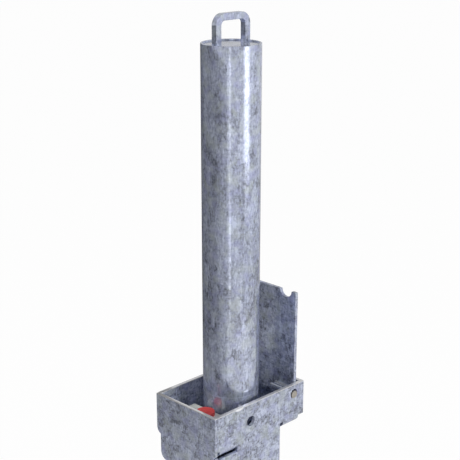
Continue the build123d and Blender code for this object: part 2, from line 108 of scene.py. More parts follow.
class Socket:
    """An output of a shader node that takes part in Python arithmetic."""

    def __init__(self, graph: "ShaderGraph", link: bpy.types.NodeSocket) -> None:
        """Wraps one output.

        Args:
            graph: The graph that the output belongs to.
            link: The output itself.
        """
        self.graph = graph
        self.link = link

    def __add__(self, other: "Value") -> "Socket":
        """Returns self + other."""
        return self.graph.maths("ADD", self, other)

    def __sub__(self, other: "Value") -> "Socket":
        """Returns self - other."""
        return self.graph.maths("SUBTRACT", self, other)

    def __mul__(self, other: "Value") -> "Socket":
        """Returns self * other."""
        return self.graph.maths("MULTIPLY", self, other)

    def __radd__(self, other: "Value") -> "Socket":
        """Returns other + self."""
        return self.graph.maths("ADD", other, self)

    def __rsub__(self, other: "Value") -> "Socket":
        """Returns other - self."""
        return self.graph.maths("SUBTRACT", other, self)

    def __rmul__(self, other: "Value") -> "Socket":
        """Returns other * self."""
        return self.graph.maths("MULTIPLY", other, self)

    def __abs__(self) -> "Socket":
        """Returns self without its sign."""
        return self.graph.maths("ABSOLUTE", self, 0.0)


Value = Union[Socket, float, Sequence[float]]


class ShaderGraph:
    """The node tree of one material or of the world."""

    def __init__(self, tree: bpy.types.NodeTree) -> None:
        """Empties a tree and keeps it.

        Args:
            tree: The tree to fill.
        """
        self.tree = tree
        tree.nodes.clear()

    def node(self, kind: str, settings: Optional[Mapping[str, Any]] = None,
             inputs: Optional[Mapping[Union[str, int], Value]] = None) -> bpy.types.Node:
        """Adds one node.

        Args:
            kind: The node's type name.
            settings: Properties, set before the sockets; "stops" holds a ramp's stops.
            inputs: Values or links, by socket name or number.

        Returns:
            The new node.
        """
        made = self.tree.nodes.new(kind)
        for name, setting in (settings or {}).items():
            if name == "stops":
                self.set_stops(made.color_ramp, setting)
            else:
                setattr(made, name, setting)
        for key, value in (inputs or {}).items():
            target = made.inputs[key]
            if isinstance(value, Socket):
                self.tree.links.new(value.link, target)
            else:
                target.default_value = value
        return made

    @staticmethod
    def set_stops(ramp: bpy.types.ColorRamp, stops: Stops) -> None:
        """Gives a ramp its grey stops.

        Args:
            ramp: The ramp of a Color Ramp node.
            stops: Position and grey level of each stop, two or more.
        """
        while len(ramp.elements) < len(stops):
            ramp.elements.new(1.0)
        for element, (position, level) in zip(ramp.elements, stops):
            element.position = position
            element.color = (level, level, level, 1.0)

    def out(self, made: bpy.types.Node, key: Union[str, int] = 0) -> Socket:
        """Returns one output of a node, wrapped."""
        return Socket(self, made.outputs[key])

    def maths(self, operation: str, first: Value, second: Value) -> Socket:
        """Returns a Math node's result for two values."""
        return self.out(self.node("ShaderNodeMath", {"operation": operation},
                                  {0: first, 1: second}))

    def clamped(self, value: Socket) -> Socket:
        """Returns a value held between 0 and 1."""
        return self.out(self.node("ShaderNodeClamp", None, {"Value": value}))

    def stepped(self, value: Socket, stops: Stops) -> Socket:
        """Returns a value sent through a grey ramp with the given stops."""
        return self.out(self.node("ShaderNodeValToRGB", {"stops": stops}, {"Fac": value}))

    def blend(self, factor: Value, first: Value, second: Value) -> Socket:
        """Returns a colour between two colours."""
        made = self.node("ShaderNodeMix", {"data_type": "RGBA", "blend_type": "MIX"},
                         {0: factor, MIX_FIRST: first, MIX_SECOND: second})
        return self.out(made, MIX_RESULT)

    def place(self, scale: Point = (1.0, 1.0, 1.0), turn: Point = ORIGIN,
              shift: Point = ORIGIN) -> Socket:
        """Reads the object's own coordinates.

        Args:
            scale: What they are multiplied by, axis by axis.
            turn: How far they are turned, in radians.
            shift: How far they are shifted after that.

        Returns:
            The coordinates, scaled, turned and shifted.
        """
        coordinates = self.out(self.node("ShaderNodeTexCoord"), "Object")
        return self.out(self.node("ShaderNodeMapping", None,
                                  {"Vector": coordinates, "Scale": scale, "Rotation": turn,
                                   "Location": shift}))

    def axis(self, place: Socket, axis: Axis) -> Socket:
        """Returns one coordinate of a place."""
        return self.out(self.node("ShaderNodeSeparateXYZ", None, {0: place}), axis.value)

    def warped(self, place: Socket, reach: float, scale: float) -> Socket:
        """Shifts coordinates by noise, so that a pattern's edges wander.

        Args:
            place: The coordinates to shift.
            reach: How far a point may shift, in metres.
            scale: How fine the noise is, per metre.

        Returns:
            The shifted coordinates.
        """
        noise = self.out(self.node("ShaderNodeTexNoise", None,
                                   {"Vector": place, "Scale": scale,
                                    "Detail": Detail.SOFT.value}), "Color")
        centred = self.out(self.node("ShaderNodeVectorMath", {"operation": "SUBTRACT"},
                                     {0: noise, 1: (MIDDLE, MIDDLE, MIDDLE)}))
        shift = self.out(self.node("ShaderNodeVectorMath", {"operation": "SCALE"},
                                   {0: centred, "Scale": reach / MIDDLE}))
        return self.out(self.node("ShaderNodeVectorMath", {"operation": "ADD"},
                                  {0: place, 1: shift}))

    def cells(self, place: Socket, size: float) -> Socket:
        """Returns a random level for each crystal of about the given size in metres."""
        voronoi = self.node("ShaderNodeTexVoronoi", {"feature": "F1"},
                            {"Vector": place, "Scale": 1.0 / size})
        return self.out(self.node("ShaderNodeSeparateColor", None,
                                  {0: self.out(voronoi, "Color")}))

    def noise(self, place: Socket, size: float, detail: Detail) -> Socket:
        """Returns noise from 0 to 1 with features of about the given size in metres."""
        return self.out(self.node("ShaderNodeTexNoise", None,
                                  {"Vector": place, "Scale": 1.0 / size,
                                   "Detail": detail.value}))

    def glowing(self, strength: float) -> Socket:
        """Returns the light of an even white glow."""
        return self.out(self.node("ShaderNodeEmission", None,
                                  {"Color": opaque(WHITE), "Strength": strength}))

    def mixed(self, factor: Socket, first: Socket, second: Socket) -> Socket:
        """Returns a shader between two shaders."""
        return self.out(self.node("ShaderNodeMixShader", None, {0: factor, 1: first, 2: second}))

    def bumped(self, height: Socket, depth: float, strength: float) -> Socket:
        """Returns the surface normal over a height field of the given depth in metres."""
        return self.out(self.node("ShaderNodeBump", None,
                                  {"Height": height, "Distance": depth, "Strength": strength}))


def opaque(colour: Colour) -> tuple[float, float, float, float]:
    """Returns a colour with full alpha."""
    return (*colour, 1.0)


def new_material(name: str) -> tuple[bpy.types.Material, ShaderGraph]:
    """Makes an empty node material.

    Args:
        name: The material's name.

    Returns:
        The material and its graph.
    """
    material = bpy.data.materials.new(name)
    material.use_nodes = True
    return material, ShaderGraph(material.node_tree)


def finish_with(graph: ShaderGraph, shader: Socket) -> None:
    """Sends a shader to the material's surface."""
    graph.node("ShaderNodeOutputMaterial", None, {"Surface": shader})


# Finishes


@dataclass(frozen=True)
class Galvanised:
    """Hot-dip zinc: soft blotches and ragged dull flakes under a fine hatched grain, with a gloss.

    Attributes:
        name: The material's name.
        pale, dark: Colours of the palest and the dullest zinc.
        violet, olive, tint: Casts of colour that drift over it, and their most strength.
        violet_size, olive_size, olive_turn: Sizes in metres and turn of their patches.
        cast_stops: Noise levels between which a cast comes up.
        glint_colour, rim_highlight: Colours of the painted glint on the near rim and of the
            painted highlight along the rims.
        cloud, blotch, flake, grain: Sizes of the pattern's layers, in metres.
        cloud_share, blotch_share, flake_share: Weights of the first three.
        upright, across, lower: Weights of the grain's hatchings, and what the sum loses.
        flake_stops: How a flake's random number becomes its level.
        wander, wander_pitch: How far and how finely the flakes' edges wander, in flakes.
        stretch, hatch: How many times longer than wide the flakes and the grain are.
        contrast: How strongly pale and dull differ.
        relief: The blotches' share of the height; the grain has the rest.
        shift: Where the pattern starts on the piece.
        gloss, dullness: Roughness of pale zinc, and what dull zinc adds to it.
        rim, ring: How strongly the painted highlight along the rims and the painted light line
            round the post show.
        rim_height, ring_height: Where those are, in metres.
        rim_half, ring_half: How far they reach up and down, in metres.
        glint_at, glint_size: Middle and half-lengths of the painted glint on the near rim, in
            metres.
        glint_fade: How sharply that painted glint ends.
    """

    name: str
    pale: Colour = (0.69, 0.765, 0.99)
    dark: Colour = (0.155, 0.17, 0.225)
    violet: Colour = (0.44, 0.47, 0.78)
    violet_size: float = 0.018
    olive: Colour = (0.58, 0.65, 0.66)
    olive_size: float = 0.022
    olive_turn: Point = (0.7, 0.4, 0.2)
    tint: float = 0.45
    cast_stops: tuple[float, float] = (0.5, 0.66)
    # Colours of the painted glint and of the painted highlight along the rims.
    glint_colour: Colour = (0.93, 0.95, 0.99)
    rim_highlight: Colour = (0.88, 0.885, 0.89)
    cloud: float = 0.070
    cloud_share: float = 0.34
    blotch: float = 0.015
    blotch_share: float = 0.62
    flake: float = 0.013
    flake_share: float = 0.40
    flake_stops: Stops = ((0.0, 0.1), (0.12, 0.3), (0.30, 0.46),
                          (0.70, 0.60), (0.88, 0.85), (1.0, 1.0))
    wander: float = 0.5
    wander_pitch: float = 1.5
    grain: float = 0.0034
    upright: float = 0.95
    across: float = 0.80
    lower: float = 0.19
    stretch: float = 1.2
    hatch: float = 2.2
    contrast: float = 1.55
    relief: float = 0.5
    shift: Point = ORIGIN
    metallic: float = 0.40
    gloss: float = 0.06
    dullness: float = 0.05
    index: float = 2.1
    bump_depth: float = 0.0003
    bump_strength: float = 0.04
    # A painted highlight along the sheets' top rims, at the rim's height.
    rim: float = 0.0
    rim_height: float = 0.4
    rim_half: float = 0.001
    # A painted glint: a white spot on the near rim that stands in for a highlight.
    glint_at: Point = (-0.0615, -0.0825, 0.3995)
    glint_size: Point = (0.015, 0.008, 0.0055)
    glint_fade: float = 3.0
    # A painted light line round the post at the rim's height, where the box's shade on the post
    # starts.
    ring: float = 0.0
    ring_height: float = 0.4005
    ring_half: float = 0.0008

    def level(self, graph: ShaderGraph) -> tuple[Socket, Socket]:
        """Adds the pattern's layers together.

        Args:
            graph: The material's graph.

        Returns:
            How pale the zinc is, from 0 to 1, and how high it stands.
        """
        place = graph.place((1.0, 1.0, 1.0 / self.stretch), shift=self.shift)
        drift = graph.warped(place, self.wander * self.flake, self.wander_pitch / self.flake)
        flakes = graph.stepped(graph.cells(drift, self.flake), self.flake_stops)
        blotches = graph.noise(drift, self.blotch, Detail.RAGGED)
        slim = 1.0 / self.hatch
        upright = graph.noise(graph.place((1.0, 1.0, slim)), self.grain, Detail.SOFT)
        across = graph.noise(graph.place((slim, slim, 1.0)), self.grain, Detail.SOFT)
        clouds = graph.noise(place, self.cloud, Detail.RAGGED)
        grain = self.upright * (upright - MIDDLE) + self.across * (across - MIDDLE)
        mixed = (self.flake_share * flakes + self.blotch_share * blotches + grain
                 + self.cloud_share * clouds - self.lower)
        # Paints a light line round the post at the rim's height.
        if self.ring:
            mixed = mixed + self.ring * self.band(graph, self.ring_height, self.ring_half)
        level = graph.clamped(self.contrast * (mixed - MIDDLE) + MIDDLE)
        return level, self.relief * blotches + (1.0 - self.relief) * upright

    @staticmethod
    def band(graph: ShaderGraph, height: float, half: float) -> Socket:
        """Returns 1 up to the given distance from a height, and 0 beyond twice that distance."""
        off = abs(graph.axis(graph.place(), Axis.Z) - height)
        return graph.clamped(2.0 - off * (1.0 / half))

    def painted_glint(self, graph: ShaderGraph) -> Socket:
        """Marks the spot on the near rim where a glint is painted.

        Args:
            graph: The material's graph.

        Returns:
            1 in the spot, falling to 0 at its edge.
        """
        scale = tuple(1.0 / size for size in self.glint_size)
        shift = tuple(-at * by for at, by in zip(self.glint_at, scale))
        reach = graph.node("ShaderNodeVectorMath", {"operation": "LENGTH"},
                           {0: graph.place(scale, shift=shift)})
        return graph.clamped(self.glint_fade * (1.0 - graph.out(reach, "Value")))

    def cast(self, graph: ShaderGraph, noise: Socket) -> Socket:
        """Returns how strongly a cast of colour shows where a noise has its level."""
        start, full = self.cast_stops
        return graph.stepped(noise, ((start, 0.0), (full, self.tint)))

    def material(self) -> bpy.types.Material:
        """Makes the material.

        Returns:
            The finish as a material.
        """
        material, graph = new_material(self.name)
        level, height = self.level(graph)
        colour = graph.blend(level, opaque(self.dark), opaque(self.pale))
        cool = graph.noise(graph.place(), self.violet_size, Detail.SOFT)
        colour = graph.blend(self.cast(graph, cool), colour, opaque(self.violet))
        drab = graph.noise(graph.place(turn=self.olive_turn), self.olive_size, Detail.SOFT)
        colour = graph.blend(self.cast(graph, drab), colour, opaque(self.olive))
        metallic: Value = self.metallic
        # A painted highlight along the rims, and a painted glint on the near rim as a white,
        # non-metallic spot.
        if self.rim:
            edge = self.rim * self.band(graph, self.rim_height, self.rim_half)
            painted_glint = self.painted_glint(graph)
            colour = graph.blend(edge, colour, opaque(self.rim_highlight))
            colour = graph.blend(painted_glint, colour, opaque(self.glint_colour))
            metallic = self.metallic * (1.0 - painted_glint)
        shader = graph.node("ShaderNodeBsdfPrincipled", None, {
            "Base Color": colour,
            "Metallic": metallic,
            "Roughness": self.gloss + self.dullness * (1.0 - level),
            "IOR": self.index,
            "Normal": graph.bumped(height, self.bump_depth, self.bump_strength),
        })
        finish_with(graph, graph.out(shader))
        return material


@dataclass(frozen=True)
class PlatedSteel:
    """Zinc-plated or passivated steel with fine turning or rolling marks.

    Attributes:
        name: The material's name.
        colour, shade: Its pale and its dark colour.
        marks: How much finer the marks are along each axis.
        mark_size, cloud_size: Sizes of the marks and of the soft clouds, in metres.
        mark_share, cloud_share, lower: Their weights, and what is taken off their sum.
        gloss, dullness: Roughness between the marks, and what the marks add to it.
        end: Colour of the end faces, where they differ.
        end_from, end_fade: Where those start along Y, and over what length, in metres.
    """

    name: str
    colour: Colour
    shade: Colour
    marks: Point = (1.0, 1.0, 12.0)
    mark_size: float = 0.004
    mark_share: float = 0.6
    cloud_size: float = 0.03
    cloud_share: float = 0.8
    lower: float = 0.2
    metallic: float = 0.75
    gloss: float = 0.22
    dullness: float = 0.18
    bump_depth: float = 0.0002
    bump_strength: float = 0.15
    end: Optional[Colour] = None
    end_from: float = 0.080
    end_fade: float = 0.001

    def material(self) -> bpy.types.Material:
        """Makes the material.

        Returns:
            The finish as a material.
        """
        material, graph = new_material(self.name)
        lines = graph.noise(graph.place(self.marks), self.mark_size, Detail.FINE)
        clouds = graph.noise(graph.place(), self.cloud_size, Detail.SOFT)
        level = graph.clamped(self.mark_share * lines + self.cloud_share * clouds - self.lower)
        colour = graph.blend(level, opaque(self.shade), opaque(self.colour))
        if self.end:
            beyond = abs(graph.axis(graph.place(), Axis.Y)) - self.end_from
            face = graph.clamped(beyond * (1.0 / self.end_fade))
            colour = graph.blend(face, colour, opaque(self.end))
        shader = graph.node("ShaderNodeBsdfPrincipled", None, {
            "Base Color": colour,
            "Metallic": self.metallic,
            "Roughness": self.gloss + self.dullness * lines,
            "Normal": graph.bumped(lines, self.bump_depth, self.bump_strength),
        })
        finish_with(graph, graph.out(shader))
        return material


@dataclass(frozen=True)
class MouldedPlastic:
    """Moulded plastic with a fine grain and slightly faded patches."""

    name: str
    colour: Colour
    faded: Colour
    grain_size: float = 0.0012
    patch_size: float = 0.014
    patch_stops: Stops = ((0.3, 0.0), (0.75, 1.0))
    gloss: float = 0.38
    dullness: float = 0.15
    index: float = 1.5
    bump_depth: float = 0.0001
    bump_strength: float = 0.3

    def material(self) -> bpy.types.Material:
        """Makes the material.

        Returns:
            The finish as a material.
        """
        material, graph = new_material(self.name)
        grain = graph.noise(graph.place(), self.grain_size, Detail.SOFT)
        patches = graph.noise(graph.place(), self.patch_size, Detail.RAGGED)
        fade = graph.stepped(patches, self.patch_stops)
        shader = graph.node("ShaderNodeBsdfPrincipled", None, {
            "Base Color": graph.blend(fade, opaque(self.colour), opaque(self.faded)),
            "Roughness": self.gloss + self.dullness * grain,
            "IOR": self.index,
            "Normal": graph.bumped(grain, self.bump_depth, self.bump_strength),
        })
        finish_with(graph, graph.out(shader))
        return material


@dataclass(frozen=True)
class StudioFloor:
    """Pale floor that looks white, is greyer in reflections, and keeps the object's shadow.

    Attributes:
        name: The material's name.
        colour: The floor's own colour.
        keep_white: How much of what the camera sees is plain white.
        mirrored: How much of that whiteness reflections show.
    """

    name: str = "studio_floor"
    colour: Colour = (0.86, 0.85, 0.83)
    keep_white: float = 0.98
    mirrored: float = 0.35

    def material(self) -> bpy.types.Material:
        """Makes the material.

        Returns:
            The floor's material.
        """
        material, graph = new_material(self.name)
        path = graph.node("ShaderNodeLightPath")
        seen = graph.clamped(graph.out(path, "Is Camera Ray")
                             + graph.out(path, "Is Transmission Ray")
                             + self.mirrored * graph.out(path, "Is Glossy Ray"))
        lit = graph.out(graph.node("ShaderNodeBsdfDiffuse", None, {"Color": opaque(self.colour)}))
        finish_with(graph, graph.mixed(seen * self.keep_white, lit, graph.glowing(1.0)))
        return material


@dataclass(frozen=True)
class StudioGlow:
    """Lit cloth of a curved softbox: bright at its top and middle, fading to its foot and sides.

    Attributes:
        name: The material's name.
        azimuth: Where the middle of the cloth stands, in degrees.
        half_width: Half its width, in metres.
        foot, top: Heights between which it grows bright, in metres.
        dim, bright: Its faintest and its strongest light.
        soft: The share of the half-width over which the light fades.
    """

    name: str
    azimuth: float
    half_width: float
    foot: float
    top: float
    dim: float
    bright: float
    soft: float = 0.5

    def material(self) -> bpy.types.Material:
        """Makes the material.

        Returns:
            The cloth's material.
        """
        material, graph = new_material(self.name)
        turned = graph.place(turn=(0.0, 0.0, math.radians(-self.azimuth)))
        rise = graph.clamped((graph.axis(turned, Axis.Z) - self.foot)
                             * (1.0 / (self.top - self.foot)))
        side = graph.clamped((self.half_width - abs(graph.axis(turned, Axis.Y)))
                             * (1.0 / (self.soft * self.half_width)))
        light = graph.mixed(rise * side, graph.glowing(self.dim), graph.glowing(self.bright))
        finish_with(graph, light)
        return material


@dataclass(frozen=True)
class StudioCard:
    """Grey card that darkens what the metal reflects, paler towards its near end and its foot.

    Attributes:
        name: The material's name.
        grey, near, foot: Its light at the far end, the near end and the foot.
        near_start, near_end: Places along Y between which it grows paler, in metres.
        foot_top: Height below which it grows paler towards the foot, in metres.
    """

    name: str = "studio_card"
    grey: float = 0.06
    near: float = 0.40
    near_start: float = 0.07
    near_end: float = -0.27
    foot: float = 0.42
    foot_top: float = 0.32

    def material(self) -> bpy.types.Material:
        """Makes the material.

        Returns:
            The card's material.
        """
        material, graph = new_material(self.name)
        place = graph.place()
        side = graph.clamped((self.near_start - graph.axis(place, Axis.Y))
                             * (1.0 / (self.near_start - self.near_end)))
        fall = graph.clamped((self.foot_top - graph.axis(place, Axis.Z)) * (1.0 / self.foot_top))
        along = graph.mixed(side, graph.glowing(self.grey), graph.glowing(self.near))
        finish_with(graph, graph.mixed(fall, along, graph.glowing(self.foot)))
        return material


FINISHES: dict[Slot, Union[Galvanised, PlatedSteel, MouldedPlastic]] = {
    # The sheets carry a painted highlight along their rims and a painted glint on the near rim.
    Slot.SHEET: Galvanised("galvanised_plate", rim=0.85),
    # The tube's ring paints a light line round the post at the rim's height.
    Slot.TUBE: Galvanised("galvanised_pipe", stretch=2.4, upright=0.98, across=0.45,
                          contrast=1.38, shift=(0.0, 0.0, 0.35), ring=0.24),
    Slot.BAR: Galvanised("galvanised_handle", flake=0.009, blotch=0.010, contrast=0.95),
    Slot.PIN: PlatedSteel("plated_pin_steel", (0.60, 0.65, 0.76), (0.42, 0.45, 0.53),
                          gloss=0.10, end=(0.52, 0.49, 0.44)),
    Slot.BRACKET: PlatedSteel("passivated_bracket_steel", (0.90, 0.92, 0.88), (0.74, 0.76, 0.73),
                              metallic=0.3),
    Slot.LOCK: PlatedSteel("lock_steel_finish", (0.60, 0.60, 0.60), (0.40, 0.40, 0.41)),
    Slot.CAP: MouldedPlastic("red_cap_plastic", (0.82, 0.075, 0.075), (0.88, 0.12, 0.11)),
}

# The lid has the zinc of the other sheets, but no painted rim highlight where it passes their
# height.
LID_FINISH = Galvanised("galvanised_lid")


# Mesh work shared by the sub-assemblies

# Distances are in metres and angles in degrees.
MERGE_DISTANCE = 1e-6
FLAT_ANGLE = 0.5
CORNER_ANGLE = 40.0
ROUNDING_STEPS = 2
SMOOTH_ANGLE = 35.0
BEAD_SMOOTH_ANGLE = 80.0


def object_from(name: str, mesh: bmesh.types.BMesh) -> bpy.types.Object:
    """Turns a bmesh into an object of the scene.

    Args:
        name: The object's name.
        mesh: Its shape in place, which is freed.

    Returns:
        The new object.
    """
    data = bpy.data.meshes.new(name)
    mesh.to_mesh(data)
    mesh.free()
    made = bpy.data.objects.new(name, data)
    bpy.context.scene.collection.objects.link(made)
    return made


@dataclass(frozen=True)
class WeldBead:
    """Rippled weld bead.

    Attributes:
        radius: Half its width, in metres.
        ripple: Length of one ripple, in metres.
        end_swell, low_swell: Widths at an end and between two ripples, of the full width.
        least_steps: Fewest steps along a line.
        line_sides, ring_sides: Sides of its section along a line and round a tube.
        ring_swell, ring_ripple: Middle width round a tube, and how far it swings.
    """

    radius: float = 0.0035
    ripple: float = 0.006
    end_swell: float = 0.55
    low_swell: float = 0.84
    least_steps: int = 4
    line_sides: int = 10
    ring_sides: int = 8
    ring_swell: float = 0.92
    ring_ripple: float = 0.08

    def line(self, start: Point, end: Point) -> bmesh.types.BMesh:
        """Models a bead along a straight seam.

        Args:
            start: Where the bead starts.
            end: Where it ends.

        Returns:
            The bead as a bmesh in place.
        """
        path = Vector(end) - Vector(start)
        steps = max(self.least_steps, 2 * round(path.length / self.ripple))
        mesh = bmesh.new()
        ring = bmesh.ops.create_circle(mesh, cap_ends=True, radius=self.end_swell * self.radius,
                                       segments=self.line_sides)["verts"]
        for step in range(1, steps + 1):
            loop_edges = [edge for edge in mesh.edges
                          if edge.verts[0] in ring and edge.verts[1] in ring]
            made = bmesh.ops.extrude_edge_only(mesh, edges=loop_edges)["geom"]
            ring = [item for item in made if isinstance(item, bmesh.types.BMVert)]
            swell = 1.0 if step % 2 else self.low_swell
            if step == steps:
                swell = self.end_swell
            height = path.length * step / steps
            for vert in ring:
                flat = Vector((vert.co.x, vert.co.y, 0.0)).normalized() * self.radius * swell
                vert.co = Vector((flat.x, flat.y, height))
        bmesh.ops.holes_fill(mesh, edges=mesh.edges, sides=0)
        turn = path.to_track_quat("Z", "Y").to_matrix().to_4x4()
        bmesh.ops.transform(mesh, matrix=Matrix.Translation(start) @ turn, verts=mesh.verts)
        bmesh.ops.recalc_face_normals(mesh, faces=mesh.faces)
        return mesh

    def ring(self, centre: Point, seam: float) -> bmesh.types.BMesh:
        """Models a bead round an upright tube.

        Args:
            centre: Middle of the seam.
            seam: Radius of the seam.

        Returns:
            The bead as a bmesh in place.
        """
        steps = 2 * round(math.tau * seam / self.ripple)
        mesh = bmesh.new()
        turn = Matrix.Translation((seam, 0.0, 0.0)) @ Matrix.Rotation(math.pi / 2, 4, "X")
        section = bmesh.ops.create_circle(mesh, radius=self.radius, segments=self.ring_sides,
                                          matrix=turn)["verts"]
        bmesh.ops.spin(mesh, geom=[*section, *mesh.edges], cent=ORIGIN, axis=UP,
                       angle=math.tau, steps=steps, use_merge=True)
        for vert in mesh.verts:
            angle = math.atan2(vert.co.y, vert.co.x)
            middle = Vector((math.cos(angle), math.sin(angle), 0.0)) * seam
            swell = self.ring_swell + self.ring_ripple * math.cos(angle * steps / 2.0)
            vert.co = middle + (vert.co - middle) * swell
        bmesh.ops.translate(mesh, vec=Vector(centre), verts=mesh.verts)
        bmesh.ops.recalc_face_normals(mesh, faces=mesh.faces)
        return mesh


class Bench:
    """Makes pieces, dresses them and puts them on their bodies."""

    def __init__(self) -> None:
        """Makes every finish once."""
        self.materials = {slot: finish.material() for slot, finish in FINISHES.items()}

    def dress_node(self, name: str, slot: Slot) -> None:
        """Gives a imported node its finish.

        Args:
            name: The node's name.
            slot: The finish.
        """
        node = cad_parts[name]
        for place in node.material_slots:
            place.material = self.materials[slot]
        LOG.info("node %s: %s", name, slot.value)

    def piece(self, name: str, mesh: bmesh.types.BMesh, slot: Slot, body: Body,
              replaces: Iterable[str] = (), smooth_angle: float = SMOOTH_ANGLE
              ) -> bpy.types.Object:
        """Turns a finished bmesh into a piece on its body.

        Args:
            name: The piece's name.
            mesh: Its shape in place, which is freed.
            slot: Its finish.
            body: The body that it moves with.
            replaces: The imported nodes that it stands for.
            smooth_angle: Edges sharper than this stay sharp, in degrees.

        Returns:
            The new object.
        """
        made = object_from(name, mesh)
        data = made.data
        data.materials.append(self.materials[slot])
        for polygon in data.polygons:
            polygon.use_smooth = True
        data.set_sharp_from_angle(angle=math.radians(smooth_angle))
        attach(made, body.value)
        names = list(replaces)
        if names:
            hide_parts(*names)
        LOG.info("piece %s: %d faces on %s", name, len(data.polygons), body.value)
        return made

    def edged_copy(self, name: str, node: str, slot: Slot, body: Body,
                   width: float) -> bpy.types.Object:
        """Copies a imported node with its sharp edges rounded, and stands for it.

        Args:
            name: The piece's name.
            node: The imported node.
            slot: Its finish.
            body: The body that it moves with.
            width: How wide the rounding is, in metres.

        Returns:
            The new object.
        """
        mesh = bmesh.new()
        mesh.from_mesh(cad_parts[node].data)
        bmesh.ops.remove_doubles(mesh, verts=mesh.verts, dist=MERGE_DISTANCE)
        bmesh.ops.dissolve_limit(mesh, angle_limit=math.radians(FLAT_ANGLE), verts=mesh.verts,
                                 edges=mesh.edges, delimit={"NORMAL"})
        corner = math.radians(CORNER_ANGLE)
        sharp = [edge for edge in mesh.edges
                 if len(edge.link_faces) == 2 and edge.calc_face_angle() > corner]
        bmesh.ops.bevel(mesh, geom=sharp, offset=width, offset_type="OFFSET", affect="EDGES",
                        segments=ROUNDING_STEPS, profile=0.5, material=-1, clamp_overlap=True)
        made = self.piece(name, mesh, slot, body, (node,))
        weighted = made.modifiers.new("even_faces", "WEIGHTED_NORMAL")
        weighted.keep_sharp = True
        return made


# Sub-assemblies


@dataclass
class HeadBox:
    """Welded box round the foot of the post, level with the surface it is set in."""

    edge: float = 0.0009
    thin_edge: float = 0.0006

    def build(self, bench: Bench) -> None:
        """Builds the folded sides, end plates and the fittings inside.

        Args:
            bench: Makes and dresses the pieces.
        """
        for node in ("near_side_plate", "far_side_plate", "front_end_plate", "rear_end_plate"):
            bench.edged_copy(node.replace("plate", "sheet"), node, Slot.SHEET, Body.HOUSING,
                             self.edge)
        bench.edged_copy("lid_rest_bar", "lid_stop_bar", Slot.SHEET, Body.HOUSING, self.thin_edge)
        for node in ("head_floor", "upper_guide_collar"):
            bench.dress_node(node, Slot.SHEET)


@dataclass
class GroundSocket:
    """Buried tube with the lock's pocket beside it, its guide ring and its base plate.

    Attributes:
        edge: Rounding of the plates' edges, in metres.
        bead: The weld bead of its seams.
        strap_half: Half the width of a strap's foot, in metres.
        sheet: Thickness of a strap, in metres.
    """

    edge: float = 0.0005
    bead: WeldBead = WeldBead()
    strap_half: float = 0.052
    sheet: float = 0.007

    def build(self, bench: Bench) -> None:
        """Builds the pocket, the base plate and the seams.

        Args:
            bench: Makes and dresses the pieces.
        """
        bench.edged_copy("lock_pocket_sheet", "lock_pocket_pan", Slot.SHEET, Body.HOUSING,
                         self.edge)
        bench.edged_copy("base_slab", "base_plate", Slot.SHEET, Body.HOUSING, self.edge)
        for node, slot in (("socket_tube", Slot.TUBE), ("lower_guide_ring", Slot.SHEET)):
            bench.dress_node(node, slot)
        self.build_seams(bench)

    def build_seams(self, bench: Bench) -> None:
        """Lays weld beads round the foot of the tube and along the feet of the straps.

        Args:
            bench: Makes and dresses the pieces.
        """
        tube_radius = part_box("socket_tube")[1].x
        base_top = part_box("base_plate")[1].z
        ring = self.bead.ring((0.0, 0.0, base_top), tube_radius)
        bench.piece("tube_foot_weld", ring, Slot.SHEET, Body.HOUSING,
                    smooth_angle=BEAD_SMOOTH_ANGLE)
        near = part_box("near_side_plate")[0].y + self.sheet
        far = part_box("far_side_plate")[1].y - self.sheet
        for name, inner in (("near_strap_weld", near), ("far_strap_weld", far)):
            line = self.bead.line((-self.strap_half, inner, base_top),
                                  (self.strap_half, inner, base_top))
            bench.piece(name, line, Slot.SHEET, Body.HOUSING, smooth_angle=BEAD_SMOOTH_ANGLE)


@dataclass
class LockSet:
    """Lock barrel on its bracket, with the cam below and the red cap above."""

    bracket_edge: float = 0.0005

    def build(self, bench: Bench) -> None:
        """Rounds the bracket, and dresses the lock, its cam and its cap.

        Args:
            bench: Makes and dresses the pieces.
        """
        bench.edged_copy("lock_shelf", "lock_bracket", Slot.BRACKET, Body.HOUSING,
                         self.bracket_edge)
        for node in ("lock_body", "lock_nut", "lock_plug", "lock_cam", "cam_washer", "cam_nut"):
            bench.dress_node(node, Slot.LOCK)
        bench.dress_node("lock_cap", Slot.CAP)


@dataclass
class LidSet:
    """Lid, standing open, with its two welded hinge stubs."""

    edge: float = 0.0008

    def build(self, bench: Bench) -> None:
        """Builds the lid plate and dresses its stubs.

        Args:
            bench: Makes and dresses the pieces.
        """
        lid = bench.edged_copy("lid_sheet", "lid_plate", Slot.SHEET, Body.LID, self.edge)
        lid.data.materials[0] = LID_FINISH.material()
        for node in ("near_hinge_pin", "far_hinge_pin"):
            bench.dress_node(node, Slot.PIN)


